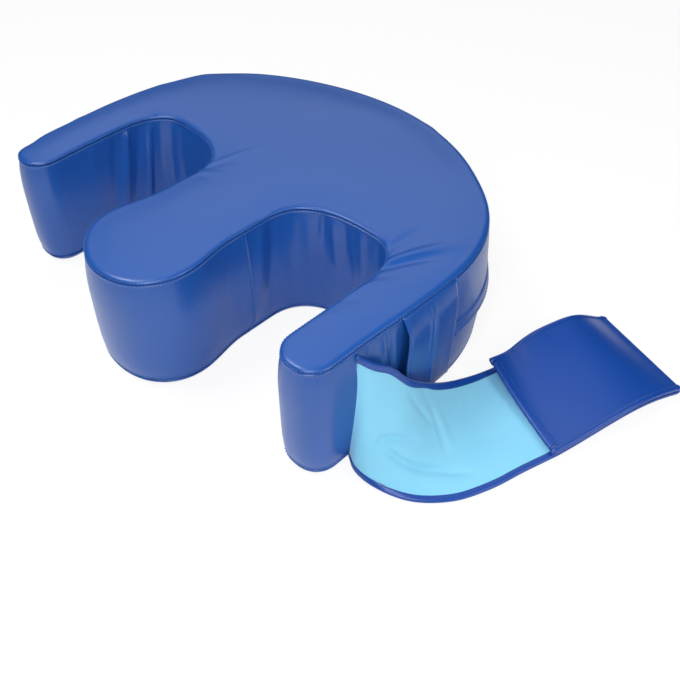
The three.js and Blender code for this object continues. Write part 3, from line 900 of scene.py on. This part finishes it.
def makeSidePanel(p):
    # Sheet over the wall's plain bulge, from the rear seam (d = 0) to the free front edge
    seamSide, hemSide = np.arange(0, 0.006, 0.0005), np.linspace(p["length"] - 0.0105, p["length"], 13)
    d = np.concatenate([seamSide, np.arange(0.006, p["length"] - 0.011, 0.0012), hemSide])
    lastRows = p["top"] - np.array([2.2, 1.5, 0.9, 0.4, 0]) / 1000
    z = np.concatenate([np.linspace(p["bottom"], p["top"] - 0.003, 58), lastRows])
    z, d = np.meshgrid(z, d, indexing="ij")
    d = d - p["skew"] * smoothstep(z, 0.085, 0.138) * (d / p["length"]) ** 2
    point, normal = loop.at(seamPlaces["rightRear"] - 0.0008 + d)
    off = wallBulge(z) + 0.0004 + p["thickness"] / 2 + panelOff(p, d, z)
    grid = np.concatenate([point + normal * off[..., None] + leanAt(point, z), z[..., None]], -1)
    normals = unit(np.cross(np.gradient(grid, axis=0), np.gradient(grid, axis=1)))
    piece = makeTube("sidePanel", flatSection(grid, normals, p["thickness"]), "side_panel", coverSkin)


makeSidePanel(sidePanel)
print("side panel made")


# Belt

belt = {
    "length": 0.400,        # of its lower run
    "width": 0.135,
    "rest": 0.00275,
    "foldGap": 0.0062,
    "foldBack": 0.166,
    "curlLift": 0.0105,
    "curlReach": 0.035,
    "bridge": 0.0145,
    "humpStart": 0.240,
    "humpFoot": 0.0113,
    "humpHead": 0.0245,
    "humpSkew": 1.37,
    "cornerCut": 0.0045,    # how far the fold's upper corner is rounded back
    "layer": 0.0012,
    "layerGap": 0.0003,
    "binding": 0.0009,
    "bindingHalf": 0.0024,
    "bindingWidth": 0.010,
}

# The belt's edges from its seam to its fold, in millimetres: along, foot x and y, head x, y and z, flat
beltRows = np.array([
    (0, 263, -128.5, 258.5, -118.5, 140, 0),
    (20, 278.2, -137, 268, -105, 127, 3),
    (40, 299.2, -138.6, 272, -89, 113.5, 10),
    (80, 336.8, -126, 280, -69, 86.5, 32),
    (120, 365.8, -97.5, 281, -40, 58, 60),
    (160, 383.2, -61.5, 284, -10, 36.5, 82),
    (200, 394.8, -21.5, 288, 26, 19, 92),
    (240, 406.5, 16.5, 292, 62, 5.8, 70),
    (320, 430, 97, 312, 140, 3, 62),
    (400, 451.5, 173.5, 334.5, 214.5, 3, 62),
]) / 1000


def smoothColumns(table, place):
    # Cubic Hermite curve through each column of a table, by its first column; slopes are means of neighbours
    x, y = table[:, 0], table[:, 1:]
    slope = np.diff(y, axis=0) / np.diff(x)[:, None]
    tangent = np.vstack([slope[:1], (slope[:-1] + slope[1:]) / 2, slope[-1:]])
    i = np.clip(np.searchsorted(x, place, side="left") - 1, 0, len(x) - 2)
    span = (x[i + 1] - x[i])[:, None]
    t = (place - x[i])[:, None] / span
    start = (1 + 2 * t) * (1 - t) ** 2 * y[i] + t * (1 - t) ** 2 * span * tangent[i]
    return start + t * t * (3 - 2 * t) * y[i + 1] + t * t * (t - 1) * span * tangent[i + 1]


def lowerRun(p, along, across):
    # Each section is a quadratic curve from the foot along the floor and up to the head, by its own length.
    # along and across are arrays of one length each; the result has a row for each along
    values = smoothColumns(beltRows, along)
    foot = np.column_stack([values[:, :2], np.full(len(along), p["rest"])])
    head = np.column_stack([values[:, 2:4], np.maximum(values[:, 4], p["rest"])])
    flat = values[:, 5:6]
    plan = (head - foot) * [1, 1, 0]
    reach = np.maximum(np.linalg.norm(plan, axis=1, keepdims=True), 0.001)
    bend = foot + plan * flat / reach
    bend[:, 2:] = foot[:, 2:] + 0.12 * (head[:, 2:] - foot[:, 2:]) * (1 - flat / reach)

    def section(t):
        return (1 - t) ** 2 * foot[:, None] + 2 * t * (1 - t) * bend[:, None] + t ** 2 * head[:, None]

    even = np.linspace(0, 1, 81)
    lengths = pathLengths(section(even[None, :, None]))
    shares = [np.interp(row, part / part[-1], even) for row, part in zip(across, lengths)]
    points = section(np.stack(shares)[..., None])
    past = np.clip((along - p["humpStart"]) / (p["length"] - p["humpStart"]), 0, 1)[:, None]
    height = p["humpFoot"] + (p["humpHead"] - p["humpFoot"]) * across
    points[..., 2] += height * np.sin(np.pi * past ** p["humpSkew"]).clip(0) ** (1 + 0.5 * across)
    return points


def beltSurface(p, along, across):
    # Lower run, then the half circle of the fold, then the run folded back over it.
    # across has a row for each along
    radius = p["foldGap"] / 2
    past = along - p["length"]
    turn = np.clip(past / radius, 0, np.pi)
    back = np.clip(past - np.pi * radius, 0, None)
    points = lowerRun(p, np.where(past <= 0, along, p["length"] - back), across)
    full = np.full(len(along), p["length"])
    ahead = lowerRun(p, full, across) - lowerRun(p, full - 0.001, across)
    ahead[..., 2] = 0
    ahead = unit(ahead)[..., :2]
    inFold = (past > 0) & (past <= np.pi * radius)
    points[..., :2] += np.where(inFold, radius * np.sin(turn), 0)[:, None, None] * ahead
    toEnd = p["foldBack"] - back
    curl = p["curlLift"] * (1 - smoothstep(toEnd, 0, p["curlReach"]))
    curl = np.where(back > 0, curl + p["bridge"] * bell(toEnd - 0.048, 0.034), 0)
    points[..., 2] += radius * (1 - np.cos(turn))[:, None] + curl[:, None] * across ** 2
    cut = p["cornerCut"] * smoothstep(across, 0.955, 1.0) * bell(past - np.pi * radius / 2, 0.012)[:, None]
    points[..., :2] -= cut[..., None] * ahead
    return points


foldLength = np.pi * belt["foldGap"] / 2
beltEnd = belt["length"] + foldLength + belt["foldBack"]


def beltStations(p):
    fold = p["length"] + foldLength * np.linspace(0, 1, 13)
    lower, back = np.arange(0, p["length"] - 0.001, 0.0028), np.linspace(fold[-1] + 0.003, beltEnd, 50)
    return np.concatenate([lower, fold, back])


# Creases of the belt's cloth: width and height in millimetres, then points of its line, along in millimetres
# and across in thousandths of the belt's width
beltCreases = [
    (4.5, -2.0, [(78, 920), (84, 860), (104, 745), (116, 660)]),
    (4.0, -1.3, [(112, 900), (121, 780), (127, 640), (129, 460), (128, 360)]),
    (5.5, 0.8, [(130, 780), (136, 620), (139, 450)]),
    (4.5, -4.8, [(40, 330), (46, 410), (66, 475), (88, 510)]),
    (5.0, -5.2, [(48, 340), (72, 300), (92, 280), (112, 275), (132, 240), (150, 190)]),
    (8.0, 2.5, [(50, 230), (85, 180), (115, 170), (145, 110)]),
]


def awayFromLine(x, y, line):
    # Distance from each point to the nearest stretch of a line, and how far along that line it lies, 0 to 1
    starts = pathLengths(line)
    starts /= starts[-1]
    best, share = np.full(x.shape, 1e9), np.zeros(x.shape)
    for i, (a, b) in enumerate(zip(line[:-1], line[1:])):
        (dx, dy), past, aside = b - a, x - a[0], y - a[1]
        t = np.clip((past * dx + aside * dy) / (dx ** 2 + dy ** 2), 0, 1)
        apart = np.hypot(past - t * dx, aside - t * dy)
        share = np.where(apart < best, starts[i] + t * (starts[i + 1] - starts[i]), share)
        best = np.minimum(best, apart)
    return best, share


def beltRelief(along, across):
    # Hollows and ridges of the cloth, in metres off its surface, on the lower run only: slow waves, and
    # creases that are bells round their lines and fade to both ends
    x, y = np.broadcast_arrays(along[:, None], across * belt["width"])
    out = 0.0004 * np.sin(x / 0.023 + 1.7 * np.sin(y / 0.03)) * np.sin(y / 0.029 + 0.5)
    for spread, height, line in beltCreases:
        apart, share = awayFromLine(x, y, np.array(line) / 1000 * [1, belt["width"]])
        out = out + height / 1000 * bell(apart, spread / 1000) * np.sin(np.pi * (0.08 + 0.84 * share)) ** 0.8
    edge = np.sin(np.pi * np.clip(across, 0, 1)) ** 0.7
    return out * edge * (smoothstep(along, 0.0, 0.04) * (1 - smoothstep(along, 0.22, 0.26)))[:, None]


def beltGrid(along, across):
    # Middle surface with its normals; across holds shares, the same in each row or a row of its own
    across = np.broadcast_to(across, (len(along), across.shape[-1]))
    before, after = (np.clip(along + step, 0, beltEnd) for step in (-0.0004, 0.0004))
    low, high = (np.clip(across + step, 0, 1) for step in (-0.004, 0.004))
    ahead = beltSurface(belt, after, across) - beltSurface(belt, before, across)
    aside = beltSurface(belt, along, high) - beltSurface(belt, along, low)
    normals = unit(np.cross(ahead, aside))
    return beltSurface(belt, along, across) + normals * beltRelief(along, across)[..., None], normals


def beltWidths(along):
    return pathLengths(beltSurface(belt, along, np.tile(np.linspace(0, 1, 41), (len(along), 1))))[:, -1]


def makeBeltLayer(name, side, material, node):
    # The lining (side 1) or the shell (-1), its edges inside the bindings
    along = beltStations(belt)
    edge = ((belt["binding"] + 0.0007) / beltWidths(along))[:, None]
    across = edge + (1 - 2 * edge) * np.linspace(0, 1, 61)
    along = np.minimum(along, beltEnd - belt["binding"] - 0.0006)
    points, normals = beltGrid(along, across)
    offset = side * (belt["layer"] + belt["layerGap"]) / 2
    rings = flatSection(points + offset * normals, normals, belt["layer"], 2)
    columns = np.concatenate([across[0], [1, 1], across[0][::-1], [0, 0]]) * belt["width"]
    uv = np.stack(np.broadcast_arrays(along[:, None], columns), -1)
    return makeTube(name, rings, node, material, uv)


beltShell = makeBeltLayer("beltShell", -1, beltSkin, "belt_shell")
beltLining = makeBeltLayer("beltLining", 1, liningCloth, "belt_lining")


def bindingProfile(p):
    # Loop of (distance in from the edge, distance off the middle): a strip folded round the edge, its nose a
    # half circle, its two inner ends rounded
    h, w, inner = p["bindingHalf"], p["bindingWidth"], p["bindingHalf"] - p["binding"]
    nose = np.linspace(np.pi / 2, -np.pi / 2, 9)
    cuts = np.array([w, w - 0.0006, w - 0.0014, w - 0.0024, 0.6 * w, 0.4 * w])
    outerTop = np.column_stack([cuts, h - np.array([0.6, 0.25, 0.35, 0, 0, 0]) / 1000])
    innerTop = np.column_stack([cuts[[5, 3, 0]], np.full(3, inner)])
    outerNose, innerNose = (np.column_stack([h - r * np.cos(nose), r * np.sin(nose)]) for r in (h, inner))
    outerLow, innerLow = ((part * [1, -1])[::-1] for part in (outerTop, innerTop))
    return np.vstack([outerTop, outerNose, outerLow, innerLow, innerNose[::-1], innerTop])


def stripWidth(along, atHead, side):
    # Width of a long binding on the lining (side 1) or the shell (-1): w cut by shares that change along it
    past = smoothstep(along, belt["length"] - 0.01, belt["length"] + 0.02) if side < 0 else 0 * along
    cut = 0.42 + 0.13 * past
    if atHead:
        cut = 0.26 + 0.42 * past + (0.22 * bell(along - 0.112, 0.016) if side > 0 else 0)
    nose = belt["bindingHalf"]
    return nose + (belt["bindingWidth"] - nose) * (1 - cut)


def makeLongBinding(name, atHead, node):
    along = beltStations(belt)
    profile = bindingProfile(belt)
    nose = belt["bindingHalf"]
    depth = (profile[:, 0] - nose) / (belt["bindingWidth"] - nose)
    lining, shell = (stripWidth(along, atHead, side)[:, None] - nose for side in (1, -1))
    inwards = nose + depth * np.where(profile[:, 1] > 0, lining, shell)
    share = np.where(profile[:, 0] > nose, inwards, profile[:, 0]) / beltWidths(along)[:, None]
    points, normals = beltGrid(along, 1 - share if atHead else share)
    return makeTube(name, points + normals * profile[:, 1, None], node, beltSkin)


def makeEndBinding():
    # The same profile carried across the free end, between the two long bindings
    profile = bindingProfile(belt)
    covered = (belt["bindingWidth"] - 0.004) / beltWidths(np.array([beltEnd - 0.005]))[0]
    points, normals = beltGrid(beltEnd - profile[:, 0], np.linspace(covered, 1 - covered, 40))
    rings = np.swapaxes(points + normals * profile[:, 1, None, None], 0, 1)
    return makeTube("beltBindingEnd", rings, "belt_binding_end", beltSkin)


bindingUpper = makeLongBinding("beltBindingUpper", True, "belt_binding_upper")
bindingLower = makeLongBinding("beltBindingLower", False, "belt_binding_lower")
bindingEnd = makeEndBinding()


def makeBeltStitches():
    # Rows of stitches near the inner edge of each binding, on both faces; the shell's upper row ends before
    # the fold
    pitch, inset, off = 0.0042, 0.0014, belt["bindingHalf"] - 0.0002
    faces = ((1, "Lining"), (-1, "Shell"))
    made = []
    for name, atHead in (("Lower", False), ("Upper", True)):
        for side, face in faces:
            stop = belt["length"] - 0.015 if atHead and side < 0 else beltEnd - 0.010
            along = np.arange(0.006, stop, pitch)
            share = ((stripWidth(along, atHead, side) - inset) / beltWidths(along))[:, None]
            across = 1 - share if atHead else share
            points, normals = beltGrid(along, across)
            ahead = beltGrid(np.minimum(along + 0.001, beltEnd), across)[0] - points
            spots = points + side * normals * off
            made.append(makeThreads("beltStitches" + name + face, spots, ahead, side * normals, beltThread))
    width = beltWidths(np.array([beltEnd]))[0]
    across = np.arange(0.008, width - 0.008, pitch) / width
    points, normals = beltGrid(np.array([beltEnd + inset - belt["bindingWidth"]]), across)
    ahead = np.gradient(points[0], axis=0)
    for side, face in faces:
        spots = points + side * normals * off
        made.append(makeThreads("beltStitchesEnd" + face, spots, ahead, side * normals, coverThread))
    return made


beltStitches = makeBeltStitches()
print("belt made")


# Floor and light

studio = {
    "floorSize": 8.0,
    "paperLitNear": 0.95,              # painted light: the floor round the cushion is painted this pale, as the cushion sees it
    # painted shade: how dark the floor is painted far from the cushion, and the reach over which the painted
    # light fades to it
    "paperShadedFar": 0.28,
    "paperLightFalloff": (0.45, 1.10),
    "paperPaintedGlow": 0.14,          # painted glow: the floor close by glows this bright as the cushion sees it, though it is no lamp
    "floorWhite": 0.87,         # plain white that the picture sees, and its share of real shade
    "floorShade": 0.15,
    "zenith": 0.06,
    "horizon": 0.02,
    "backGlow": 1.20,
    "backPlace": (-0.408, 0.562, 0.719),    # middle of the soft glow
    "edgePlace": (-0.966, -0.259, 0.0),     # it ends a right angle from here
    "darkPlace": (0.26, 0.72, 0.64),        # the sky is dark round here
    "backdrop": 1.0,
}

# Soft boxes: place, aim, side, watts
softBoxes = {
    "topBox": ((0.55, -0.60, 1.70), (0.05, 0.0, 0.1), 0.6, 6.0),
    "nearBox": ((0.70, -0.95, 1.05), (0.1, 0.0, 0.1), 0.5, 8.6),
    "overBox": ((-0.55, -0.55, 1.70), (0.0, 0.0, 0.1), 0.6, 13.4),
    "rightBox": ((1.70, 0.30, 1.20), (0.1, 0.0, 0.1), 0.9, 11.6),
}


def easeNode(tree, value, start, end, low=0.0, high=1.0):
    return rangeNode(tree, value, low, high, start, end, "SMOOTHSTEP")


def makeFloor():
    # White to the picture, with a faint shade; to all else a painted pool of light: pale and glowing near the
    # cushion, painted darker away from it
    mesh = bpy.data.meshes.new("floor")
    half = studio["floorSize"] / 2
    corners = [(x * half, y * half, -0.0001) for x, y in ((-1, -1), (1, -1), (1, 1), (-1, 1))]
    mesh.from_pydata(corners, [], [[0, 1, 2, 3]])
    material, tree, shader = newMaterial("floorPaintedLightPool")
    place = addNode(tree, "TexCoord", {})["Object"]
    far = addNode(tree, "VectorMath", {0: place}, operation="LENGTH")["Value"]
    # Painted pool of light: 0 near the cushion, 1 far off
    fade = easeNode(tree, far, *studio["paperLightFalloff"])
    seen = addNode(tree, "LightPath", {})["Is Camera Ray"]
    near, away, shade = ((*[studio[name]] * 3, 1) for name in ("paperLitNear", "paperShadedFar", "floorShade"))
    # Painted glow near the cushion that lights it, though the floor is no lamp
    glow = rangeNode(tree, fade, studio["paperPaintedGlow"], 0.0)
    setInputs(tree, shader, {
        "Base Color": mixNode(tree, seen, mixNode(tree, fade, near, away, "RGBA"), shade, "RGBA"),
        "Emission Strength": mixNode(tree, seen, glow, studio["floorWhite"]),
        "Emission Color": (1, 1, 1, 1),
        "Roughness": 0.9,
        "Specular IOR Level": 0.0,
    })
    mesh.materials.append(material)
    floor = addObject("floor", mesh)


def makeSky():
    # Strength = horizon to zenith by height, dark on one side, plus a glow behind; plain white to the picture
    world = bpy.data.worlds.new("studio")
    world.use_nodes = True
    tree = world.node_tree
    place = addNode(tree, "TexCoord", {})["Generated"]
    height = addNode(tree, "SeparateXYZ", {"Vector": place})["Z"]

    def lobe(name, *steps):
        # Eased by how closely a direction points to a named one
        middle = unit(np.array(studio[name])).tolist()
        closeness = addNode(tree, "VectorMath", {0: place, 1: middle}, operation="DOT_PRODUCT")["Value"]
        return easeNode(tree, closeness, *steps)

    rise = easeNode(tree, height, 0.15, 0.75, studio["horizon"], studio["zenith"])
    dome = mathNode(tree, "MULTIPLY", rise, lobe("darkPlace", 0.50, 0.84, 1.0, 0.0))
    glow = lobe("backPlace", 0.70, 1.0, 0.0, studio["backGlow"])
    for part in (lobe("edgePlace", -0.05, 0.05), easeNode(tree, height, 0.28, 0.46)):
        glow = mathNode(tree, "MULTIPLY", glow, part)
    seen = addNode(tree, "LightPath", {})["Is Camera Ray"]
    strength = mixNode(tree, seen, mathNode(tree, "ADD", dome, glow), studio["backdrop"])
    setInputs(tree, tree.nodes["Background"], {"Strength": strength, "Color": (1, 1, 1, 1)})
    bpy.context.scene.world = world


def makeLight(name, place, aim, size, power):
    data = bpy.data.lights.new(name, "AREA")
    data.size = size
    data.energy = power
    back = unit(np.array(place) - np.array(aim))
    side = unit(np.cross([0, 0, 1.0], back))
    addObject(name, data, place, [side, np.cross(back, side), back])


makeFloor()
makeSky()
for name, values in softBoxes.items():
    makeLight(name, *values)
bpy.context.scene.view_settings.view_transform = "Standard"
print("studio made")
